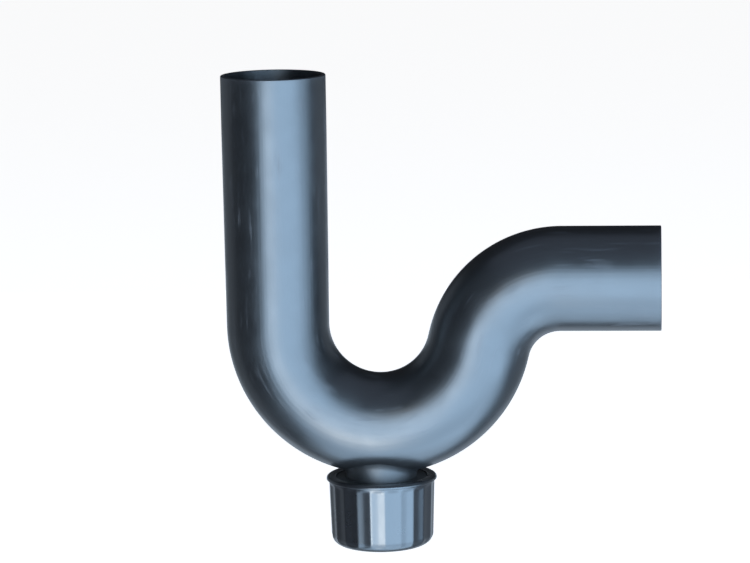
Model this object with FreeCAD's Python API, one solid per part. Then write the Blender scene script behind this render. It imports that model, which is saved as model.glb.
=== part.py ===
"""P trap of black HDPE drainage pipe, with a cleanout branch and a screw cap under the bend.

Millimetres, +Z up. The origin is the centre of the screw cap's flat base, on which the trap stands.
The pipe runs in the XZ plane: the inlet stands up at -X, the outlet leaves along +X.
"""
import FreeCAD, Part
import math
import os
from FreeCAD import Rotation, Vector

# Pipe
SPIGOT_OD = 110.0
BEND_OD = 108.0
WALL = 4.2
BEND_RADIUS = 107.0
BEND_SWEEP = 166.0
RISER_STRAIGHT = 6.0
OUTLET_BEND_RADIUS = 89.0
INLET_HEIGHT = 263.5
INLET_SPIGOT = 60.0
OUTLET_REACH = 296.0

# Cleanout branch and its threaded nozzle
BEND_CENTRE_Z = 236.5
NECK_OD = 75.0
NECK_WALL = 3.0
NOZZLE_TOP_Z = 72.5
NOZZLE_SHOULDER = 6.0
NOZZLE_SHOULDER_R = 48.2
NOZZLE_END_Z = 12.5
NOZZLE_ROOT_R = 46.0
NOZZLE_BORE_R = 40.5
NOZZLE_CONE = 6.0
CHAMFER = 1.0

# Thread, one start, right hand
PITCH = 6.0
THREAD_CREST_R = 48.2
THREAD_BOTTOM_Z = 33.0
THREAD_TURNS = 4.75
RIDGE_BASE = 3.6
RIDGE_CREST = 1.8
THREAD_CLEARANCE = 0.6
FLANK_CLEARANCE = 0.4
RIDGE_ROOTING = 0.6

# Screw cap
CAP_HEIGHT = 74.0
CAP_LIP_R = 58.5
CAP_LIP = 4.0
LIP_BEVEL = 2.5
CAP_TOP_R = 56.0
CAP_FOOT_R = 54.2
CAP_FOOT_ROUND = 12.0
CAP_FLOOR = 5.0
CAP_INNER_ROUND = 7.0
CAP_BORE_R = THREAD_CREST_R + THREAD_CLEARANCE
SEAT_OUTER_R = 48.0
SEAT_HEIGHT = 3.0
COLLAR_OUTER_R = 39.8
COLLAR_WALL = 2.0
COLLAR_TOP_Z = 16.0
GRIP_FLUTES = 22
FLUTE_CUTTER_R = 9.0
FLUTE_DEPTH = 1.1
FLUTE_BOTTOM_Z = 5.0

# Rings between the nozzle's end and the cap's seat
RING_INNER_R = 40.1
RING_OUTER_R = 46.2
SLIP_RING = 1.5
GASKET = 3.0

# Beads left inside by butt fusion
BEAD_R = 2.0

SPIGOT_R = SPIGOT_OD / 2
BEND_R = BEND_OD / 2
NECK_R = NECK_OD / 2
NECK_BORE_R = NECK_R - NECK_WALL
UP = Vector(0, 0, 1)
ACROSS = Vector(0, 1, 0)
BEND_CENTRE = Vector(0, 0, BEND_CENTRE_Z)
INLET_END = BEND_CENTRE + Vector(-BEND_RADIUS, 0, 0)


def on_bend(angle):
    """Point of the U bend's centreline, with the angle counted from the inlet side."""
    turn = math.radians(180 + angle)
    return BEND_CENTRE + Vector(math.cos(turn), 0, math.sin(turn)) * BEND_RADIUS


RISER_TILT = math.radians(180 - BEND_SWEEP)
RISER_WAY = Vector(math.sin(RISER_TILT), 0, math.cos(RISER_TILT))
RISER_SIDE = Vector(math.cos(RISER_TILT), 0, -math.sin(RISER_TILT))
BEND_END = on_bend(BEND_SWEEP)
RISER_END = BEND_END + RISER_WAY * RISER_STRAIGHT
OUTLET_CENTRE = RISER_END + RISER_SIDE * OUTLET_BEND_RADIUS
OUTLET_START = OUTLET_CENTRE + UP * OUTLET_BEND_RADIUS
OUTLET_MIDWAY = RISER_SIDE.negative() + UP
OUTLET_MIDWAY.normalize()
OUTLET_TURN = 90 - math.degrees(RISER_TILT)


def revolved(edges, centre=Vector(0, 0, 0)):
    """Solid of revolution about the upright axis through the centre."""
    face = Part.Face(Part.Wire(Part.sortEdges(edges)[0]))
    face.translate(centre)
    return face.revolve(centre, UP, 360)


def outline(points):
    """Closed outline of straight edges through (radius, height) pairs."""
    corners = [Vector(radius, 0, height) for radius, height in points]
    return Part.makePolygon(corners + corners[:1]).Edges


def ring(inner, outer, bottom, top):
    """Flat ring about the cleanout's axis."""
    return revolved(outline([(inner, bottom), (outer, bottom), (outer, top), (inner, top)]))


def open_outline(points):
    """Straight edges through (radius, height) pairs, left open."""
    return Part.makePolygon([Vector(radius, 0, height) for radius, height in points]).Edges


def quarter_arc(centre_r, centre_z, radius):
    """Arc from straight below its centre to straight outward of it."""
    low = Vector(centre_r, 0, centre_z - radius)
    side = Vector(centre_r + radius, 0, centre_z)
    slant = radius / math.sqrt(2)
    return Part.Arc(low, Vector(centre_r + slant, 0, centre_z - slant), side).toShape()


def disc_wire(radius, centre, way):
    return Part.Wire(Part.makeCircle(radius, centre, way))


def inlet_leg():
    """Upright leg: a parallel spigot above, tapering down to the bend's size."""
    taper = INLET_HEIGHT - INLET_SPIGOT
    outer = [(BEND_R, 0), (SPIGOT_R, taper), (SPIGOT_R, INLET_HEIGHT - CHAMFER)]
    rim = [(SPIGOT_R - CHAMFER, INLET_HEIGHT), (SPIGOT_R - WALL, INLET_HEIGHT)]
    inner = [(SPIGOT_R - WALL, taper), (BEND_R - WALL, 0)]
    return revolved(outline(outer + rim + inner), INLET_END)


def bend_solid(radius):
    """Solid torus sector and short riser that the U bend is cut from."""
    start = Part.Face(disc_wire(radius, INLET_END, UP))
    bend = start.revolve(BEND_CENTRE, ACROSS.negative(), BEND_SWEEP)
    riser = Part.makeCylinder(radius, RISER_STRAIGHT, BEND_END, RISER_WAY)
    return bend.fuse(riser).removeSplitter()


def u_bend():
    """The bend that holds the water, with the cleanout's opening in its underside."""
    access = Part.makeCylinder(NECK_BORE_R, BEND_CENTRE_Z - BEND_RADIUS)
    return bend_solid(BEND_R).cut(bend_solid(BEND_R - WALL)).cut(access)


def outlet_bend_solid(start_r, end_r):
    """Bend whose section grows evenly from one radius to the other."""
    middle = OUTLET_CENTRE + OUTLET_MIDWAY * OUTLET_BEND_RADIUS
    path = Part.Wire(Part.Arc(RISER_END, middle, OUTLET_START).toShape())
    first = disc_wire(start_r, RISER_END, RISER_WAY)
    last = disc_wire(end_r, OUTLET_START, Vector(1, 0, 0))
    return path.makePipeShell([first, last], True, True)


def outlet_bend():
    outer = outlet_bend_solid(BEND_R, SPIGOT_R)
    return outer.cut(outlet_bend_solid(BEND_R - WALL, SPIGOT_R - WALL))


def outlet_spigot():
    """Level outlet pipe, turned about its own axis and laid along +X."""
    reach = OUTLET_REACH - OUTLET_START.x
    outer = [(SPIGOT_R, 0), (SPIGOT_R, reach - CHAMFER), (SPIGOT_R - CHAMFER, reach)]
    inner = [(SPIGOT_R - WALL, reach), (SPIGOT_R - WALL, 0)]
    pipe = revolved(outline(outer + inner))
    pipe.Placement = FreeCAD.Placement(OUTLET_START, Rotation(UP, Vector(1, 0, 0)))
    return pipe


def cleanout_neck():
    """Branch pipe saddled onto the underside of the bend."""
    height = BEND_CENTRE_Z - BEND_RADIUS - NOZZLE_TOP_Z
    foot = Vector(0, 0, NOZZLE_TOP_Z)
    pipe = Part.makeCylinder(NECK_R, height, foot).cut(Part.makeCylinder(NECK_BORE_R, height, foot))
    return pipe.cut(bend_solid(BEND_R))


def thread_ridge(base_r, crest_r, base_width, crest_width, bottom):
    """One helical ridge from the base radius to the crest radius, for either side of the thread."""
    rise = THREAD_TURNS * PITCH
    helix = Part.makeLongHelix(PITCH, rise, base_r, 0, False)
    section = outline([
        (base_r, -base_width / 2),
        (crest_r, -crest_width / 2),
        (crest_r, crest_width / 2),
        (base_r, base_width / 2),
    ])
    ridge = Part.Wire(helix).makePipeShell([Part.Wire(section)], True, True)
    ridge.translate(Vector(0, 0, bottom))
    return ridge


def threaded_nozzle():
    """Nozzle under the neck: shoulder, coned bore and an outside thread."""
    shoulder_z = NOZZLE_TOP_Z - NOZZLE_SHOULDER
    outer = [
        (NOZZLE_ROOT_R - CHAMFER, NOZZLE_END_Z),
        (NOZZLE_ROOT_R, NOZZLE_END_Z + CHAMFER),
        (NOZZLE_ROOT_R, shoulder_z),
        (NOZZLE_SHOULDER_R, shoulder_z),
        (NOZZLE_SHOULDER_R, NOZZLE_TOP_Z - CHAMFER),
        (NOZZLE_SHOULDER_R - CHAMFER, NOZZLE_TOP_Z),
    ]
    bore = [
        (NECK_BORE_R, NOZZLE_TOP_Z),
        (NECK_BORE_R, shoulder_z),
        (NOZZLE_BORE_R, shoulder_z - NOZZLE_CONE),
        (NOZZLE_BORE_R, NOZZLE_END_Z),
    ]
    body = revolved(outline(outer + bore))
    base_r = NOZZLE_ROOT_R - RIDGE_ROOTING
    ridge = thread_ridge(base_r, THREAD_CREST_R, RIDGE_BASE, RIDGE_CREST, THREAD_BOTTOM_Z)
    return body.fuse(ridge)


def bead(bore_r, centre, way):
    """Half-round bead inside a butt joint, flat against the pipe's bore."""
    chord = Part.makeLine(Vector(bore_r, 0, BEAD_R), Vector(bore_r, 0, -BEAD_R))
    low, inmost, high = Vector(bore_r, 0, -BEAD_R), Vector(bore_r - BEAD_R, 0, 0), Vector(bore_r, 0, BEAD_R)
    shape = revolved([chord, Part.Arc(low, inmost, high).toShape()])
    shape.Placement = FreeCAD.Placement(centre, Rotation(UP, way))
    return shape


def cap_core():
    """The cap without thread and flutes: one turned profile from the base to the lip and back."""
    lip_z = CAP_HEIGHT - CAP_LIP
    foot_r = CAP_FOOT_R - CAP_FOOT_ROUND
    floor_r = CAP_BORE_R - CAP_INNER_ROUND
    inner_z = CAP_FLOOR + CAP_INNER_ROUND
    outer_arc = quarter_arc(foot_r, CAP_FOOT_ROUND, CAP_FOOT_ROUND)
    inner_arc = quarter_arc(floor_r, inner_z, CAP_INNER_ROUND)
    wall = [
        (CAP_FOOT_R, CAP_FOOT_ROUND),
        (CAP_TOP_R, lip_z - CHAMFER),
        (CAP_LIP_R, lip_z + CHAMFER),
        (CAP_LIP_R, CAP_HEIGHT - LIP_BEVEL),
        (CAP_LIP_R - LIP_BEVEL, CAP_HEIGHT),
        (CAP_BORE_R + CHAMFER, CAP_HEIGHT),
        (CAP_BORE_R, CAP_HEIGHT - CHAMFER),
        (CAP_BORE_R, inner_z),
    ]
    base = [(floor_r, CAP_FLOOR), (0, CAP_FLOOR), (0, 0), (foot_r, 0)]
    return revolved(open_outline(wall) + open_outline(base) + [outer_arc, inner_arc])


def flute_cutters():
    """Leaning round bars that cut the grip flutes, evenly spaced about the cap."""
    lean = math.atan2(CAP_TOP_R - CAP_FOOT_R, CAP_HEIGHT - CAP_LIP - CAP_FOOT_ROUND)
    way = Vector(math.sin(lean), 0, math.cos(lean))
    rise = (CAP_HEIGHT - CAP_LIP - 2 * CHAMFER - FLUTE_BOTTOM_Z) / math.cos(lean)
    foot_r = CAP_FOOT_R - (CAP_FOOT_ROUND - FLUTE_BOTTOM_Z) * math.tan(lean)
    foot = Vector(foot_r + FLUTE_CUTTER_R - FLUTE_DEPTH, 0, FLUTE_BOTTOM_Z)
    bar = Part.makeCylinder(FLUTE_CUTTER_R, rise, foot, way)
    bars = []
    for number in range(GRIP_FLUTES):
        bars.append(bar.rotated(Vector(0, 0, 0), UP, (number + 0.5) * 360 / GRIP_FLUTES))
    return bars


def screw_cap():
    """Cup-shaped cap: fluted outside, threaded inside, with a seat and a centring collar on its floor."""
    buried = CAP_FLOOR / 2
    seat = ring(COLLAR_OUTER_R - COLLAR_WALL, SEAT_OUTER_R, buried, CAP_FLOOR + SEAT_HEIGHT)
    collar = ring(COLLAR_OUTER_R - COLLAR_WALL, COLLAR_OUTER_R, buried, COLLAR_TOP_Z)
    base_r = CAP_BORE_R + RIDGE_ROOTING
    crest_r = NOZZLE_ROOT_R + THREAD_CLEARANCE
    gap = PITCH - 2 * FLANK_CLEARANCE
    half_turn_up = THREAD_BOTTOM_Z + PITCH / 2
    ridge = thread_ridge(base_r, crest_r, gap - RIDGE_CREST, gap - RIDGE_BASE, half_turn_up - PITCH)
    return cap_core().fuse([seat, collar, ridge]).cut(flute_cutters())


def cap_ring(bottom, thickness):
    """Loose ring lying on the cap's seat, between the collar and the nozzle's outside."""
    return ring(RING_INNER_R, RING_OUTER_R, bottom, bottom + thickness)


def main():
    seat_z = CAP_FLOOR + SEAT_HEIGHT
    nodes = {
        "inlet_leg": inlet_leg(),
        "u_bend": u_bend(),
        "outlet_bend": outlet_bend(),
        "outlet_spigot": outlet_spigot(),
        "cleanout_neck": cleanout_neck(),
        "threaded_nozzle": threaded_nozzle(),
        "riser_weld_bead": bead(BEND_R - WALL, RISER_END, RISER_WAY),
        "neck_weld_bead": bead(NECK_BORE_R, Vector(0, 0, NOZZLE_TOP_Z), UP),
        "cap_gasket": cap_ring(seat_z + SLIP_RING, GASKET),
        "slip_ring": cap_ring(seat_z, SLIP_RING),
        "screw_cap": screw_cap(),
    }
    os.makedirs("parts", exist_ok=True)
    for name, shape in nodes.items():
        shape.exportStep(f"parts/{name}.step")


main()
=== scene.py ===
"""P trap of black HDPE drainage pipe with a screw cap on its cleanout, over a pale floor.

Metres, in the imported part's own frame: +Z up, the pipe in the XZ plane, the origin under the cap.
"""
import math

import bpy
from mathutils import Matrix, Vector


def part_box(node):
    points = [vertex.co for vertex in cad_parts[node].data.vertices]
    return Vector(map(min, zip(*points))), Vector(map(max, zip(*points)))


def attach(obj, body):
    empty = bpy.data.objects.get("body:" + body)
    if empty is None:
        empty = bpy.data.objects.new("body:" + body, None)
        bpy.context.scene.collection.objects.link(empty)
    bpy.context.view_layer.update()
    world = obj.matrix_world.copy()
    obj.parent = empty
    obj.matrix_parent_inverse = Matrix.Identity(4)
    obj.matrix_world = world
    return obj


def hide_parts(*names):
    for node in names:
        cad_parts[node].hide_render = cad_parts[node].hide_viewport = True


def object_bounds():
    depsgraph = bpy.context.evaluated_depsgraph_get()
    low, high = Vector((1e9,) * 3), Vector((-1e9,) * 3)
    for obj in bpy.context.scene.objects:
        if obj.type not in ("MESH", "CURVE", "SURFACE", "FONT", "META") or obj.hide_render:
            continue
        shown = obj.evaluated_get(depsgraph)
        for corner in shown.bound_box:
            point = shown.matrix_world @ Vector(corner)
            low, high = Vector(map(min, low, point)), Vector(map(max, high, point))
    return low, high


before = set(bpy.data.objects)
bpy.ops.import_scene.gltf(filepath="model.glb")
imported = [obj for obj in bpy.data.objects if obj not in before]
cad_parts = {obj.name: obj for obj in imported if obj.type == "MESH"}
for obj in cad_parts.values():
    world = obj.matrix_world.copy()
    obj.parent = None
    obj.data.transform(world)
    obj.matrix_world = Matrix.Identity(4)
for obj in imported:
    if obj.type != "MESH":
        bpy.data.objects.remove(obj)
CAD_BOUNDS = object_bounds()

# Pipe
WALL = 0.0042
BEND_SWEEP = math.radians(166)
INLET_SPIGOT = 0.060
RIM_ROUND_OUTSIDE = 0.0012
RIM_ROUND_INSIDE = 0.0005
RIM_STEPS = 5
RIM_WEAR_REACH = 0.003
WALL_FACING = 0.9
ROUND_COLUMNS = 160
STATION_STEP = 0.003

# Cleanout neck
NECK_WALL = 0.003
NECK_FILLET = 0.005
NECK_BURIED = 0.0003
NECK_COLUMNS = 160
NECK_STEPS = 8

# Nozzle and thread
NOZZLE_ROOT_R = 0.046
NOZZLE_BORE_R = 0.0405
NOZZLE_SHOULDER = 0.006
NOZZLE_CONE = 0.006
EDGE = 0.001
LIP_ROUND = 0.003
SMALL_EDGE = 0.0003
PITCH = 0.006
THREAD_TURNS = 4.75
MALE_THREAD_Z = 0.033
MALE_CREST = 0.0018
MALE_ROOT = 0.0032
FEMALE_THREAD_Z = MALE_THREAD_Z - PITCH / 2
FEMALE_CREST = 0.0016
FEMALE_ROOT = 0.0030
THREAD_CLEARANCE = 0.0006
THREAD_COLUMNS = 180
THREAD_ROW_STEP = 0.0003
THREAD_RUN_OUT = 0.08

# Screw cap
CAP_LIP = 0.004
CAP_LIP_PROUD = 0.0025
CAP_TAPER = 0.0018
CAP_FOOT_ROUND = 0.012
CAP_FLOOR = 0.005
CAP_INNER_ROUND = 0.007
CAP_BORE_R = 0.0488
FLUTES = 22
CAP_COLUMNS = 20 * FLUTES
CAP_THREAD_STEP = 0.0004
CAP_SIDE_STEP = 0.0012
CAP_BASE_STEP = 0.006
FLUTE_DEPTH = 0.0010
FLUTE_RIDGE = 0.20
FLUTE_FADE = 0.0025
GATE_MARK_R = 0.004
GATE_MARK_DEPTH = 0.0004
COLLAR_WALL = 0.002
COLLAR_TOP_Z = 0.016
RING_BORE_R = 0.0401

# Floor, below the cap's base at the end of its travel
FLOOR_DROP = 0.028
FLOOR_REACH = 30
FLOOR_GLOW = 0.92

# How bright the world is in what the plastic reflects
WORLD_DIM = 0.04

# Base colours
PIPE_BLACK = (0.0070, 0.0075, 0.0083)
CAP_BLACK = (0.0070, 0.0072, 0.0082)
SCUFFED = (0.026, 0.027, 0.030)

# Tints of the soft boxes
FRONT_TINT = (0.48, 0.72, 1.0)
STRIP_TINT = (1.0, 0.92, 0.78)
HIGH_TINT = (0.60, 0.74, 1.0)
UNDER_TINT = (0.60, 0.80, 1.0)
CAP_TINT = (1.0, 1.0, 0.94)
REAR_TINT = (0.70, 0.84, 1.0)

# Camera, in degrees and metres
CAMERA_DISTANCE = 3.4875
CAMERA_AZIMUTH = 4.7
CAMERA_ELEVATION = 9.48
CAMERA_ROLL = -0.95
CAMERA_AIM_SHIFT = Vector((-0.0707, 0, 0.0312))
CAMERA_LENS = 159.4

UP = Vector((0, 0, 1))
ACROSS = Vector((0, 1, 0))
TURN = 2 * math.pi
SHARP_ANGLE = math.radians(40)
NECK_SHARP_ANGLE = math.radians(50)


# ---------------------------------------------------------------- mesh helpers

def new_object(name, points, faces, material):
    """Smooth-shaded mesh object in one material."""
    mesh = bpy.data.meshes.new(name)
    mesh.from_pydata(points, [], faces)
    mesh.validate()
    mesh.polygons.foreach_set("use_smooth", [True] * len(mesh.polygons))
    mesh.materials.append(material)
    obj = bpy.data.objects.new(name, mesh)
    bpy.context.scene.collection.objects.link(obj)
    return obj


def grid_faces(rows, columns, closed):
    """Quads of a grid that wraps round its columns, and its rows too if it is closed."""
    faces = []
    for row in range(rows if closed else rows - 1):
        above = (row + 1) % rows
        for column in range(columns):
            beside = (column + 1) % columns
            faces.append((
                row * columns + column,
                row * columns + beside,
                above * columns + beside,
                above * columns + column,
            ))
    return faces


def arc(centre_r, centre_z, radius, start, end, steps):
    """Points of an arc in the (radius, height) half plane, angles in degrees."""
    points = []
    for step in range(steps + 1):
        angle = math.radians(start + (end - start) * step / steps)
        points.append((centre_r + radius * math.cos(angle), centre_z + radius * math.sin(angle)))
    return points


def straight(start, end, step):
    """Evenly spaced (radius, height) points from start up to, but not with, end."""
    length = math.dist(start, end)
    count = max(1, math.ceil(length / step))
    return [
        (start[0] + (end[0] - start[0]) * i / count, start[1] + (end[1] - start[1]) * i / count)
        for i in range(count)
    ]


def turned(name, profile, columns, material, reach=None):
    """Closed solid turned about the Z axis from (radius, height) points.

    A profile that starts and ends on the axis gets a pole at each end. reach(radius, height, angle)
    may change a point's radius.
    """
    has_poles = profile[0][0] < 1e-9
    rings = profile[1:-1] if has_poles else profile
    points = []
    for radius, height in rings:
        for column in range(columns):
            angle = TURN * column / columns
            shaped = reach(radius, height, angle) if reach else radius
            points.append((shaped * math.cos(angle), shaped * math.sin(angle), height))
    faces = grid_faces(len(rings), columns, not has_poles)
    if has_poles:
        first_pole = len(points)
        points.append((0, 0, profile[0][1]))
        points.append((0, 0, profile[-1][1]))
        last_ring = (len(rings) - 1) * columns
        for column in range(columns):
            beside = (column + 1) % columns
            faces.append((first_pole, beside, column))
            faces.append((first_pole + 1, last_ring + column, last_ring + beside))
    obj = new_object(name, points, faces, material)
    obj.data.set_sharp_from_angle(angle=SHARP_ANGLE)
    return obj


# ---------------------------------------------------------------- materials

class Shader:
    """A node material under construction, with its Principled shader."""

    def __init__(self, name, colour, roughness, specular=1.0, ior=1.6):
        self.material = bpy.data.materials.new(name)
        self.material.use_nodes = True
        self.tree = self.material.node_tree
        self.surface = self.tree.nodes["Principled BSDF"]
        self.surface.inputs["Base Color"].default_value = (*colour, 1)
        self.surface.inputs["Roughness"].default_value = roughness
        self.surface.inputs["Specular IOR Level"].default_value = specular
        self.surface.inputs["IOR"].default_value = ior
        self.normal = None

    def add(self, kind, **settings):
        made = self.tree.nodes.new(kind)
        for key, value in settings.items():
            setattr(made, key, value)
        return made

    def link(self, source, target):
        self.tree.links.new(source, target)

    def place(self, attribute):
        """Texture coordinates: an attribute of the mesh, or the object's own."""
        if attribute:
            return self.add("ShaderNodeAttribute", attribute_name=attribute).outputs["Vector"]
        return self.add("ShaderNodeTexCoord").outputs["Object"]

    def noise(self, place, scale, detail=2.0, stretch=(1, 1, 1), distortion=0.0):
        mapping = self.add("ShaderNodeMapping")
        mapping.inputs["Scale"].default_value = stretch
        self.link(place, mapping.inputs["Vector"])
        texture = self.add("ShaderNodeTexNoise")
        texture.inputs["Scale"].default_value = scale
        texture.inputs["Detail"].default_value = detail
        texture.inputs["Distortion"].default_value = distortion
        self.link(mapping.outputs["Vector"], texture.inputs["Vector"])
        return texture.outputs["Fac"]

    def ramp(self, value, low, high, start=0.0, end=1.0):
        """Maps value's range low to high onto start to end, and holds it there."""
        spread = self.add("ShaderNodeMapRange")
        spread.inputs["From Min"].default_value = low
        spread.inputs["From Max"].default_value = high
        spread.inputs["To Min"].default_value = start
        spread.inputs["To Max"].default_value = end
        self.link(value, spread.inputs["Value"])
        return spread.outputs["Result"]

    def math(self, operation, first, second):
        node = self.add("ShaderNodeMath", operation=operation)
        for value, socket in ((first, node.inputs[0]), (second, node.inputs[1])):
            if isinstance(value, (int, float)):
                socket.default_value = value
            else:
                self.link(value, socket)
        return node.outputs["Value"]

    def colour_between(self, share, first, second):
        mix = self.add("ShaderNodeMix", data_type="RGBA")
        mix.inputs["A"].default_value = (*first, 1)
        mix.inputs["B"].default_value = (*second, 1)
        self.link(share, mix.inputs["Factor"])
        return mix.outputs["Result"]

    def bump(self, height, distance, strength=1.0):
        """Stacks one more layer of relief on the surface."""
        node = self.add("ShaderNodeBump")
        node.inputs["Strength"].default_value = strength
        node.inputs["Distance"].default_value = distance
        self.link(height, node.inputs["Height"])
        if self.normal:
            self.link(self.normal, node.inputs["Normal"])
        self.normal = node.outputs["Normal"]
        self.link(self.normal, self.surface.inputs["Normal"])


def pipe_plastic(name, attribute, smooth, dull):
    """Satin black polyethylene: drawn streaks, slow waviness, fine grain, scuffs and a sawn rim."""
    shader = Shader(name, PIPE_BLACK, (smooth + dull) / 2)
    place = shader.place(attribute)
    mottle = shader.noise(place, 35, 4)
    scuff = shader.ramp(shader.noise(place, 160, 3, (1, 1, 0.12), 0.6), 0.56, 0.70)
    patches = shader.ramp(shader.noise(place, 22, 2), 0.45, 0.65)
    marks = shader.math("MULTIPLY", scuff, patches)
    if attribute:
        rim = shader.add("ShaderNodeAttribute", attribute_name="rim_wear").outputs["Fac"]
        worn = shader.ramp(shader.noise(place, 600, 3), 0.35, 0.65, 0.1, 0.8)
        marks = shader.math("MAXIMUM", marks, shader.math("MULTIPLY", rim, worn))
    shader.link(
        shader.colour_between(marks, PIPE_BLACK, SCUFFED),
        shader.surface.inputs["Base Color"],
    )
    rough = shader.ramp(mottle, 0.3, 0.7, smooth, dull)
    rough = shader.math("ADD", rough, shader.math("MULTIPLY", marks, 0.16))
    shader.link(rough, shader.surface.inputs["Roughness"])
    shader.bump(shader.noise(place, 14, 1), 0.00035)
    shader.bump(shader.noise(place, 420, 2, (1, 1, 0.012)), 0.00006)
    shader.bump(shader.noise(place, 2600, 2), 0.000012)
    shader.bump(marks, 0.00004)
    return shader.material


def cap_plastic():
    """Moulded black polyethylene, glossier than the pipe, with faint handling marks."""
    shader = Shader("cap_plastic", CAP_BLACK, 0.28)
    place = shader.place(None)
    mottle = shader.noise(place, 60, 3)
    scratches = shader.ramp(shader.noise(place, 300, 3, (1, 1, 0.25), 1.2), 0.64, 0.76)
    patches = shader.ramp(shader.noise(place, 40, 2), 0.48, 0.62)
    marks = shader.math("MULTIPLY", scratches, patches)
    shader.link(
        shader.colour_between(marks, CAP_BLACK, SCUFFED),
        shader.surface.inputs["Base Color"],
    )
    rough = shader.ramp(mottle, 0.3, 0.7, 0.27, 0.31)
    rough = shader.math("ADD", rough, shader.math("MULTIPLY", marks, 0.08))
    shader.link(rough, shader.surface.inputs["Roughness"])
    shader.bump(shader.noise(place, 50, 1), 0.00006)
    shader.bump(shader.noise(place, 3000, 2), 0.000003)
    return shader.material


def gasket_rubber():
    """Matt EPDM with a talc bloom."""
    shader = Shader("gasket_rubber", (0.022, 0.022, 0.023), 0.75, 0.35, 1.5)
    place = shader.place(None)
    bloom = shader.ramp(shader.noise(place, 90, 4), 0.45, 0.75)
    shader.link(
        shader.colour_between(bloom, (0.020, 0.020, 0.021), (0.060, 0.060, 0.062)),
        shader.surface.inputs["Base Color"],
    )
    shader.link(shader.ramp(bloom, 0, 1, 0.68, 0.86), shader.surface.inputs["Roughness"])
    shader.bump(shader.noise(place, 2200, 3), 0.00002)
    return shader.material


def slip_ring_plastic():
    """Natural polypropylene, milky, with a fine grain."""
    shader = Shader("slip_ring_plastic", (0.70, 0.70, 0.66), 0.42, 0.5, 1.5)
    place = shader.place(None)
    cloud = shader.noise(place, 70, 3)
    shader.link(
        shader.colour_between(shader.ramp(cloud, 0.3, 0.7), (0.66, 0.66, 0.61), (0.76, 0.76, 0.72)),
        shader.surface.inputs["Base Color"],
    )
    shader.link(shader.ramp(cloud, 0.3, 0.7, 0.36, 0.50), shader.surface.inputs["Roughness"])
    shader.bump(shader.noise(place, 1400, 2), 0.00001)
    return shader.material


PIPE = pipe_plastic("pipe_plastic", "unrolled", 0.30, 0.38)
MOULDED = pipe_plastic("moulded_plastic", None, 0.44, 0.54)
CAP = cap_plastic()
GASKET = gasket_rubber()
SLIP = slip_ring_plastic()


# ---------------------------------------------------------------- the pipe's line, from the frame

leg_low, leg_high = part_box("inlet_leg")
bend_low, bend_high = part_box("u_bend")
outlet_low, outlet_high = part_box("outlet_spigot")
neck_low, neck_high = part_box("cleanout_neck")
nozzle_low, nozzle_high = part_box("threaded_nozzle")
cap_low, cap_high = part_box("screw_cap")
slip_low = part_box("slip_ring")[0]

SPIGOT_R = (leg_high.y - leg_low.y) / 2
BEND_R = (bend_high.y - bend_low.y) / 2
BEND_CENTRE = Vector((0, 0, bend_high.z))
BEND_RADIUS = -bend_low.x - BEND_R
NECK_R = (neck_high.y - neck_low.y) / 2
OUTLET_START = Vector((outlet_low.x, 0, (outlet_low.z + outlet_high.z) / 2))
OUTLET_REACH = outlet_high.x - outlet_low.x
LEG_HEIGHT = leg_high.z - leg_low.z
NOZZLE_SHOULDER_R = nozzle_high.x
NOZZLE_TOP_Z = nozzle_high.z

RISER_TILT = math.pi - BEND_SWEEP
RISER_WAY = Vector((math.sin(RISER_TILT), 0, math.cos(RISER_TILT)))
RISER_SIDE = Vector((math.cos(RISER_TILT), 0, -math.sin(RISER_TILT)))
BEND_END = BEND_CENTRE + RISER_SIDE * BEND_RADIUS
TO_OUTLET = OUTLET_START - BEND_END
SOLVE = 1 - math.sin(RISER_TILT)
RISER_STRAIGHT = (TO_OUTLET.z * RISER_WAY.z - TO_OUTLET.x * SOLVE) / SOLVE
OUTLET_BEND_RADIUS = (TO_OUTLET.x * RISER_WAY.z - TO_OUTLET.z * RISER_WAY.x) / SOLVE
RISER_END = BEND_END + RISER_WAY * RISER_STRAIGHT
OUTLET_CENTRE = OUTLET_START - UP * OUTLET_BEND_RADIUS
OUTLET_TURN = math.pi / 2 - RISER_TILT

BEND_LENGTH = BEND_RADIUS * BEND_SWEEP
RISER_AT = LEG_HEIGHT + BEND_LENGTH
OUTLET_BEND_AT = RISER_AT + RISER_STRAIGHT
OUTLET_AT = OUTLET_BEND_AT + OUTLET_BEND_RADIUS * OUTLET_TURN


def centre_at(along):
    """Centre and heading of the pipe, counted along its line from the inlet's rim."""
    if along <= LEG_HEIGHT:
        return Vector((-BEND_RADIUS, 0, leg_high.z - along)), -UP
    if along <= RISER_AT:
        turned_by = (along - LEG_HEIGHT) / BEND_RADIUS
        out = Vector((-math.cos(turned_by), 0, -math.sin(turned_by)))
        return BEND_CENTRE + out * BEND_RADIUS, Vector((math.sin(turned_by), 0, -math.cos(turned_by)))
    if along <= OUTLET_BEND_AT:
        return BEND_END + RISER_WAY * (along - RISER_AT), RISER_WAY
    if along <= OUTLET_AT:
        angle = RISER_TILT + (along - OUTLET_BEND_AT) / OUTLET_BEND_RADIUS
        out = Vector((-math.cos(angle), 0, math.sin(angle)))
        return OUTLET_CENTRE + out * OUTLET_BEND_RADIUS, Vector((math.sin(angle), 0, math.cos(angle)))
    return OUTLET_START + Vector((along - OUTLET_AT, 0, 0)), Vector((1, 0, 0))


def radius_at(along):
    """Outside radius: parallel spigots, and a size smaller round the bend."""
    if along <= INLET_SPIGOT:
        return SPIGOT_R
    if along <= LEG_HEIGHT:
        return SPIGOT_R + (BEND_R - SPIGOT_R) * (along - INLET_SPIGOT) / (LEG_HEIGHT - INLET_SPIGOT)
    if along <= OUTLET_BEND_AT:
        return BEND_R
    if along <= OUTLET_AT:
        return BEND_R + (SPIGOT_R - BEND_R) * (along - OUTLET_BEND_AT) / (OUTLET_AT - OUTLET_BEND_AT)
    return SPIGOT_R


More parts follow.
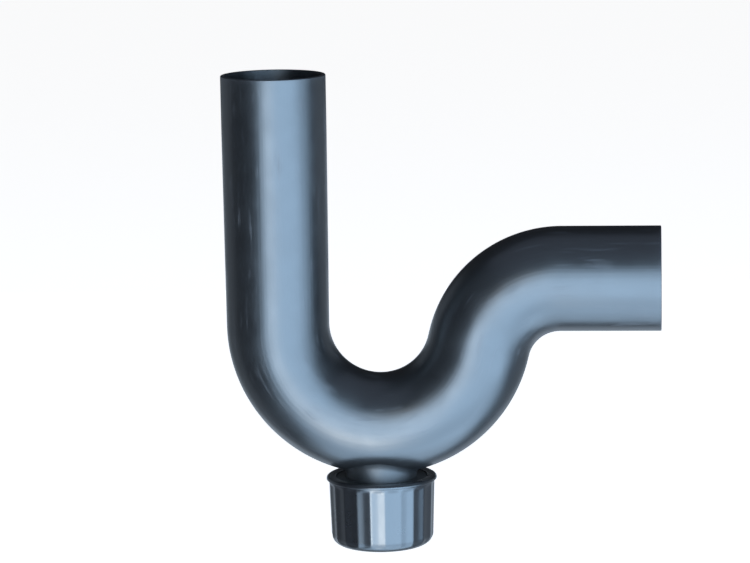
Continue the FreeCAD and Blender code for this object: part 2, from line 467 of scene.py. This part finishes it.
def pipe_frame(point):
    """(centre, heading, along) of the pipe's line nearest a point of its wall."""
    if point.x < 0 and point.z >= BEND_CENTRE.z:
        along = leg_high.z - point.z
    elif (point - BEND_END).dot(RISER_WAY) <= 0 or point.x < 0:
        out = point - BEND_CENTRE
        along = LEG_HEIGHT + BEND_RADIUS * math.atan2(-out.z, -out.x)
    elif (point - RISER_END).dot(RISER_WAY) <= 0:
        along = RISER_AT + (point - BEND_END).dot(RISER_WAY)
    elif point.x < OUTLET_START.x:
        out = point - OUTLET_CENTRE
        along = OUTLET_BEND_AT + OUTLET_BEND_RADIUS * (math.atan2(out.z, -out.x) - RISER_TILT)
    else:
        along = OUTLET_AT + point.x - OUTLET_START.x
    centre, heading = centre_at(along)
    return centre, heading, along


def finish_pipe(obj, rim_at):
    """Gives a piece of pipe the true normals of its line, so that joints between pieces don't show,
    and the unrolled coordinates and rim wear that the plastic's texture follows."""
    mesh = obj.data
    outward = []
    unrolled = []
    wear = []
    for vertex in mesh.vertices:
        centre, heading, along = pipe_frame(vertex.co)
        off_axis = vertex.co - centre
        off_axis -= heading * off_axis.dot(heading)
        outward.append(off_axis.normalized())
        side = ACROSS.cross(heading)
        unrolled.extend((off_axis.dot(side), off_axis.y, along))
        wear.append(math.exp(-abs(along - rim_at) / RIM_WEAR_REACH))
    normals = []
    for face in mesh.polygons:
        for index in face.vertices:
            facing = face.normal.dot(outward[index])
            if abs(facing) > WALL_FACING:
                normals.append(outward[index] * math.copysign(1, facing))
            else:
                normals.append(face.normal.copy())
    mesh.normals_split_custom_set(normals)
    coordinates = mesh.attributes.new("unrolled", "FLOAT_VECTOR", "POINT")
    coordinates.data.foreach_set("vector", unrolled)
    mesh.attributes.new("rim_wear", "FLOAT", "POINT").data.foreach_set("value", wear)


def ring_row(along, radius):
    """One ring of points about the pipe's line."""
    centre, heading = centre_at(along)
    side = ACROSS.cross(heading)
    row = []
    for column in range(ROUND_COLUMNS):
        angle = TURN * column / ROUND_COLUMNS
        row.append(centre + (side * math.cos(angle) + ACROSS * math.sin(angle)) * radius)
    return row


def rim_rows(rim_at, inward):
    """Rings that round a sawn rim from the outside of the wall to the inside."""
    rows = []
    for step in range(RIM_STEPS + 1):
        angle = math.pi / 2 * step / RIM_STEPS
        depth = RIM_ROUND_OUTSIDE * (1 - math.sin(angle))
        rows.append((rim_at + inward * depth, SPIGOT_R - RIM_ROUND_OUTSIDE * (1 - math.cos(angle))))
    for step in range(RIM_STEPS + 1):
        angle = math.pi / 2 * step / RIM_STEPS
        depth = RIM_ROUND_INSIDE * (1 - math.cos(angle))
        bore = SPIGOT_R - WALL + RIM_ROUND_INSIDE * (1 - math.sin(angle))
        rows.append((rim_at + inward * depth, bore))
    return rows


def pipe_piece(name, start, end, rim=None):
    """A stretch of pipe wall between two places on its line; rim says which end is open."""
    first = start + RIM_ROUND_OUTSIDE if rim == "start" else start
    last = end - RIM_ROUND_OUTSIDE if rim == "end" else end
    steps = max(2, math.ceil((last - first) / STATION_STEP))
    places = [first + (last - first) * step / steps for step in range(steps + 1)]
    rows = [(place, radius_at(place)) for place in places]
    if rim == "end":
        rows = rows[:-1] + rim_rows(end, -1)
    bore_places = places[::-1]
    if rim:
        bore_places = bore_places[1:] if rim == "end" else bore_places[:-1]
    rows += [(place, radius_at(place) - WALL) for place in bore_places]
    if rim == "start":
        rows = rows[1:] + rim_rows(start, 1)[::-1]
    points = []
    for place, radius in rows:
        points += ring_row(place, radius)
    return new_object(name, points, grid_faces(len(rows), ROUND_COLUMNS, True), PIPE)


def cut_round_hole(obj, radius, bottom, top):
    """Drills an upright round hole on the Z axis through a piece."""
    profile = [(0, bottom), (radius, bottom), (radius, top), (0, top)]
    drill = turned("drill", profile, NECK_COLUMNS, PIPE)
    cut = obj.modifiers.new("cleanout_hole", "BOOLEAN")
    cut.object = drill
    cut.operation = "DIFFERENCE"
    cut.solver = "EXACT"
    evaluated = obj.evaluated_get(bpy.context.evaluated_depsgraph_get())
    drilled = bpy.data.meshes.new_from_object(evaluated)
    obj.modifiers.clear()
    obj.data = drilled
    bpy.data.objects.remove(drill)


# ---------------------------------------------------------------- cleanout neck and nozzle

def saddle_height(radius, angle):
    """Height of the bend's underside over a point of the neck's plan."""
    x = radius * math.cos(angle)
    y = radius * math.sin(angle)
    out = BEND_RADIUS + math.sqrt(BEND_R ** 2 - y ** 2)
    return BEND_CENTRE.z - math.sqrt(out ** 2 - x ** 2)


def make_neck(foot_z):
    """Branch pipe with a small moulded fillet where it meets the underside of the bend."""
    bore = NECK_R - NECK_WALL
    points = []
    for column in range(NECK_COLUMNS):
        angle = TURN * column / NECK_COLUMNS
        joint = saddle_height(NECK_R, angle)
        reach = NECK_R + NECK_FILLET
        wall_top = joint - NECK_FILLET
        line = [(bore, foot_z), (NECK_R, foot_z)]
        rise = wall_top - foot_z
        line += [(NECK_R, foot_z + rise * step / NECK_STEPS) for step in range(1, NECK_STEPS)]
        edge = (reach, saddle_height(reach, angle) + NECK_BURIED)
        for step in range(NECK_STEPS + 1):
            share = step / NECK_STEPS
            rest = 1 - share
            radius = rest ** 2 * NECK_R + 2 * rest * share * NECK_R + share ** 2 * edge[0]
            height = rest ** 2 * wall_top + 2 * rest * share * joint + share ** 2 * edge[1]
            line.append((radius, height))
        line.append((bore, saddle_height(bore, angle) + NECK_BURIED))
        points.append([(r * math.cos(angle), r * math.sin(angle), z) for r, z in line])
    flat = [points[column][row] for row in range(len(points[0])) for column in range(NECK_COLUMNS)]
    neck = new_object("neck_branch", flat, grid_faces(len(points[0]), NECK_COLUMNS, True), MOULDED)
    neck.data.set_sharp_from_angle(angle=NECK_SHARP_ANGLE)
    return neck


def ridge_share(radius_span, offset, crest_half, root_half):
    """How far the thread's ridge stands up at an axial offset from its middle, from 0 to radius_span."""
    if offset <= crest_half:
        return radius_span
    if offset >= root_half:
        return 0.0
    return radius_span * (root_half - offset) / (root_half - crest_half)


def thread_height(height, angle, start_z, span, crest_half, root_half):
    """Ridge height of a one-start right-hand thread over a point of its cylinder."""
    turns = (height - start_z) / PITCH
    share = angle / TURN
    nearest = share + round(turns - share)
    nearest = min(max(nearest, share), share + math.floor(THREAD_TURNS - share))
    offset = abs(turns - nearest) * PITCH
    run_in = min(1.0, nearest / THREAD_RUN_OUT, (THREAD_TURNS - nearest) / THREAD_RUN_OUT)
    return ridge_share(span, offset, crest_half, root_half) * max(0.0, run_in)


def make_nozzle():
    """Threaded nozzle: shoulder at the top, coned bore, ridge wound round the outside."""
    root_r = NOZZLE_ROOT_R
    thread_low = MALE_THREAD_Z - PITCH / 2
    thread_high = MALE_THREAD_Z + (THREAD_TURNS + 0.5) * PITCH
    shoulder_z = NOZZLE_TOP_Z - NOZZLE_SHOULDER
    profile = arc(root_r - EDGE, nozzle_low.z + EDGE, EDGE, -90, 0, 4)
    profile += straight((root_r, thread_low), (root_r, thread_high), THREAD_ROW_STEP)
    profile += [(root_r, thread_high), (root_r, shoulder_z), (NOZZLE_SHOULDER_R - SMALL_EDGE, shoulder_z)]
    profile += arc(NOZZLE_SHOULDER_R - EDGE, NOZZLE_TOP_Z - EDGE, EDGE, 0, 90, 4)
    profile += [(NECK_R - NECK_WALL, NOZZLE_TOP_Z), (NECK_R - NECK_WALL, shoulder_z)]
    profile += [(NOZZLE_BORE_R, shoulder_z - NOZZLE_CONE), (NOZZLE_BORE_R, nozzle_low.z)]

    def reach(radius, height, angle):
        if abs(radius - root_r) > 1e-6 or not thread_low < height < thread_high:
            return radius
        span = NOZZLE_SHOULDER_R - root_r
        return radius + thread_height(height, angle, MALE_THREAD_Z, span, MALE_CREST / 2, MALE_ROOT / 2)

    return turned("nozzle", profile, THREAD_COLUMNS, MOULDED, reach)


def flute_depth(angle):
    """Depth of the cap's shallow flutes, which meet in narrow rounded ridges."""
    sector = TURN / FLUTES
    share = abs((angle % sector) / sector * 2 - 1)
    to_ridge = 1 - share
    return FLUTE_DEPTH * (1 - share ** 2) * to_ridge / (to_ridge + FLUTE_RIDGE)


def make_cap():
    """Fluted cup with a lip, an inside thread, and a seat and collar on its floor."""
    side_r = cap_high.x - CAP_LIP_PROUD
    foot_r = side_r - CAP_TAPER
    lip_z = cap_high.z - CAP_LIP
    seat_z = slip_low.z
    collar_r = RING_BORE_R - SMALL_EDGE
    flute_low = CAP_FLOOR
    flute_high = lip_z - 2 * EDGE
    outside = [(0, GATE_MARK_DEPTH), (GATE_MARK_R, GATE_MARK_DEPTH), (GATE_MARK_R + GATE_MARK_DEPTH, 0)]
    outside += straight((foot_r / 3, 0), (foot_r - CAP_FOOT_ROUND, 0), CAP_BASE_STEP)
    outside += arc(foot_r - CAP_FOOT_ROUND, CAP_FOOT_ROUND, CAP_FOOT_ROUND, -90, 0, 24)
    outside += straight((foot_r, CAP_FOOT_ROUND + 0.001), (side_r, lip_z - EDGE), CAP_SIDE_STEP)
    outside += arc(side_r + EDGE, lip_z - EDGE, EDGE, 180, 120, 4)
    outside += arc(cap_high.x - EDGE, cap_high.z - LIP_ROUND, EDGE, -50, 0, 4)
    outside += arc(cap_high.x - LIP_ROUND, cap_high.z - LIP_ROUND, LIP_ROUND, 0, 90, 10)[1:]
    bore = arc(CAP_BORE_R + EDGE, cap_high.z - EDGE, EDGE, 90, 180, 6)
    thread_low = FEMALE_THREAD_Z - PITCH / 2
    thread_high = FEMALE_THREAD_Z + (THREAD_TURNS + 0.5) * PITCH
    bore += straight((CAP_BORE_R, thread_high), (CAP_BORE_R, thread_low), CAP_THREAD_STEP)
    inner_r = CAP_BORE_R - CAP_INNER_ROUND
    round_bottom = math.degrees(math.asin((CAP_FLOOR + CAP_INNER_ROUND - seat_z) / CAP_INNER_ROUND))
    bore += arc(inner_r, CAP_FLOOR + CAP_INNER_ROUND, CAP_INNER_ROUND, 0, -round_bottom, 8)
    collar_bore = collar_r - COLLAR_WALL
    inside = [(collar_r, seat_z), (collar_r, COLLAR_TOP_Z - SMALL_EDGE)]
    inside += [(collar_r - SMALL_EDGE, COLLAR_TOP_Z), (collar_bore, COLLAR_TOP_Z)]
    inside += [(collar_bore, CAP_FLOOR), (0, CAP_FLOOR)]

    def reach(radius, height, angle):
        on_side = radius > max(foot_r - CAP_FOOT_ROUND, CAP_BORE_R + EDGE)
        if on_side and height < flute_high + FLUTE_FADE:
            fade_in = min(1.0, max(0.0, (height - flute_low) / FLUTE_FADE))
            fade_out = min(1.0, max(0.0, (flute_high - height) / FLUTE_FADE))
            return radius - flute_depth(angle) * math.sin(math.pi / 2 * min(fade_in, fade_out))
        if abs(radius - CAP_BORE_R) < 1e-6 and thread_low < height < thread_high:
            span = CAP_BORE_R - NOZZLE_ROOT_R - THREAD_CLEARANCE
            return radius - thread_height(
                height, angle, FEMALE_THREAD_Z, span, FEMALE_CREST / 2, FEMALE_ROOT / 2
            )
        return radius

    return turned("cap", outside + bore + inside, CAP_COLUMNS, CAP, reach)


def make_ring(name, node, material):
    """Flat loose ring in a node's place, its corners rounded."""
    low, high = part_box(node)
    edge = min(SMALL_EDGE, (high.z - low.z) / 4)
    outer = high.x
    profile = arc(outer - edge, low.z + edge, edge, -90, 0, 4)
    profile += arc(outer - edge, high.z - edge, edge, 0, 90, 4)
    profile += arc(RING_BORE_R + edge, high.z - edge, edge, 90, 180, 4)
    profile += arc(RING_BORE_R + edge, low.z + edge, edge, 180, 270, 4)
    return turned(name, profile, NECK_COLUMNS, material)


# ---------------------------------------------------------------- the pieces on their bodies

# A place too far from every piece for rim wear to show
NO_RIM = -1.0
PIPE_END = OUTLET_AT + OUTLET_REACH


def stand_for(piece, body, node):
    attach(piece, body)
    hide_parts(node)


def make_pipe():
    """The four stretches of pipe, and the cleanout's hole in the bend."""
    leg = pipe_piece("leg", 0.0, LEG_HEIGHT, rim="start")
    bend = pipe_piece("bend", LEG_HEIGHT, OUTLET_BEND_AT)
    cut_round_hole(bend, NECK_R - NECK_WALL, cap_high.z, BEND_CENTRE.z - BEND_RADIUS)
    over = pipe_piece("outlet_turn", OUTLET_BEND_AT, OUTLET_AT)
    outlet = pipe_piece("outlet", OUTLET_AT, PIPE_END, rim="end")
    for piece, node, rim_at in (
        (leg, "inlet_leg", 0.0),
        (bend, "u_bend", NO_RIM),
        (over, "outlet_bend", NO_RIM),
        (outlet, "outlet_spigot", PIPE_END),
    ):
        finish_pipe(piece, rim_at)
        stand_for(piece, "trap", node)


def paint(node, material):
    """Puts a material on a CAD node that is shown as it is."""
    mesh_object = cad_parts[node]
    mesh_object.data.materials.clear()
    mesh_object.data.materials.append(material)


make_pipe()
stand_for(make_neck(NOZZLE_TOP_Z), "trap", "cleanout_neck")
stand_for(make_nozzle(), "trap", "threaded_nozzle")
stand_for(make_ring("gasket", "cap_gasket", GASKET), "seal", "cap_gasket")
stand_for(make_ring("slip_washer", "slip_ring", SLIP), "seal", "slip_ring")
stand_for(make_cap(), "cap", "screw_cap")
for bead in ("riser_weld_bead", "neck_weld_bead"):
    paint(bead, MOULDED)


# ---------------------------------------------------------------- floor, light and camera

def make_floor():
    """White floor, clear when looked at from below, so that the trap's underside can be seen."""
    sides = ((-1, -1), (1, -1), (1, 1), (-1, 1))
    corners = [(x * FLOOR_REACH, y * FLOOR_REACH, -FLOOR_DROP) for x, y in sides]
    shader = Shader("floor_white", (0.80, 0.80, 0.81), 0.9, 0.1)
    grain = shader.noise(shader.place(None), 3, 2)
    shader.link(
        shader.colour_between(grain, (0.79, 0.79, 0.80), (0.82, 0.82, 0.83)),
        shader.surface.inputs["Base Color"],
    )
    shader.surface.inputs["Emission Color"].default_value = (1, 1, 1, 1)
    shader.surface.inputs["Emission Strength"].default_value = FLOOR_GLOW
    clear = shader.add("ShaderNodeBsdfTransparent").outputs["BSDF"]
    from_above = shader.add("ShaderNodeMixShader")
    shader.link(shader.add("ShaderNodeNewGeometry").outputs["Backfacing"], from_above.inputs["Fac"])
    shader.link(shader.surface.outputs["BSDF"], from_above.inputs[1])
    shader.link(clear, from_above.inputs[2])
    shader.link(from_above.outputs["Shader"], shader.tree.nodes["Material Output"].inputs["Surface"])
    floor = new_object("floor", corners, [(0, 1, 2, 3)], shader.material)
    floor.visible_glossy = False
    floor.visible_shadow = False


def make_world():
    """White to the camera, dim to everything that the plastic reflects."""
    world = bpy.data.worlds.new("studio")
    bpy.context.scene.world = world
    world.use_nodes = True
    nodes = world.node_tree.nodes
    links = world.node_tree.links
    dim = nodes["Background"]
    dim.inputs["Color"].default_value = (0.80, 0.86, 1.0, 1)
    dim.inputs["Strength"].default_value = WORLD_DIM
    pale = nodes.new("ShaderNodeBackground")
    pale.inputs["Color"].default_value = (1, 1, 1, 1)
    mix = nodes.new("ShaderNodeMixShader")
    path = nodes.new("ShaderNodeLightPath")
    links.new(path.outputs["Is Camera Ray"], mix.inputs["Fac"])
    links.new(dim.outputs["Background"], mix.inputs[1])
    links.new(pale.outputs["Background"], mix.inputs[2])
    links.new(mix.outputs["Shader"], nodes["World Output"].inputs["Surface"])


LIGHT_AIM = Vector(((CAD_BOUNDS[0].x + CAD_BOUNDS[1].x) / 2, 0, CAD_BOUNDS[1].z / 2))


def soft_light(name, azimuth, elevation, distance, width, height, radiance, colour, aim=None):
    """Soft box round the object: azimuth 0 is in front of it, 90 to its right, looking from the camera."""
    turn, lift = math.radians(azimuth), math.radians(elevation)
    way = Vector((math.sin(turn) * math.cos(lift), -math.cos(turn) * math.cos(lift), math.sin(lift)))
    light = bpy.data.lights.new(name, "AREA")
    light.shape = "RECTANGLE"
    light.size = width
    light.size_y = height
    light.energy = radiance * math.pi * width * height
    light.color = colour
    lamp = bpy.data.objects.new(name, light)
    lamp.location = (aim or LIGHT_AIM) + way * distance
    lamp.rotation_euler = way.to_track_quat("Z", "Y").to_euler()
    lamp.visible_camera = False
    bpy.context.scene.collection.objects.link(lamp)


def make_lights():
    """Blue boxes in front, dim ones behind, and a small one that whitens a band of the cap."""
    soft_light("front_wide", 31, -10, 1.70, 5.8, 1.6, 1.6, FRONT_TINT)
    soft_light("front_middle", 26, -22, 1.74, 4.6, 4.0, 1.6, FRONT_TINT)
    soft_light("front_tall", 18, -32, 1.78, 3.4, 7.6, 2.15, FRONT_TINT)
    soft_light("front_strip", -13, -14, 1.6, 0.60, 2.8, 1.25, STRIP_TINT)
    soft_light("high_box", 10, 80, 1.7, 3.0, 2.4, 0.27, HIGH_TINT)
    soft_light("under_box", 0, -84, 1.3, 1.6, 1.0, 0.85, UNDER_TINT)
    cap_middle = Vector((0, 0, (cap_low.z + cap_high.z) / 2))
    soft_light("cap_box", -12, -19, 0.5, 0.12, 0.16, 4.6, CAP_TINT, cap_middle)
    soft_light("back_box", 185, -30, 1.7, 2.2, 1.9, 0.8, REAR_TINT)
    soft_light("right_box", 125, -12, 1.7, 1.4, 2.4, 0.3, REAR_TINT)
    soft_light("left_box", -122, -12, 1.7, 1.4, 2.4, 0.25, REAR_TINT)


def make_camera():
    """Long lens from the photograph's side, a little above and slightly rolled."""
    turn, lift, roll = (math.radians(x) for x in (CAMERA_AZIMUTH, CAMERA_ELEVATION, CAMERA_ROLL))
    back = Vector((math.sin(turn) * math.cos(lift), -math.cos(turn) * math.cos(lift), math.sin(lift)))
    right = Vector((math.cos(turn), math.sin(turn), 0))
    upright = back.cross(right)
    across = right * math.cos(roll) + upright * math.sin(roll)
    over = upright * math.cos(roll) - right * math.sin(roll)
    centre = (CAD_BOUNDS[0] + CAD_BOUNDS[1]) / 2
    place = Vector((centre.x, 0, centre.z)) + CAMERA_AIM_SHIFT + back * CAMERA_DISTANCE
    data = bpy.data.cameras.new("camera")
    data.lens = CAMERA_LENS
    camera = bpy.data.objects.new("camera", data)
    camera.matrix_world = Matrix((
        (across.x, over.x, back.x, place.x),
        (across.y, over.y, back.y, place.y),
        (across.z, over.z, back.z, place.z),
        (0, 0, 0, 1),
    ))
    bpy.context.scene.collection.objects.link(camera)
    bpy.context.scene.camera = camera


make_floor()
make_world()
make_lights()
make_camera()
bpy.context.scene.view_settings.view_transform = "Standard"
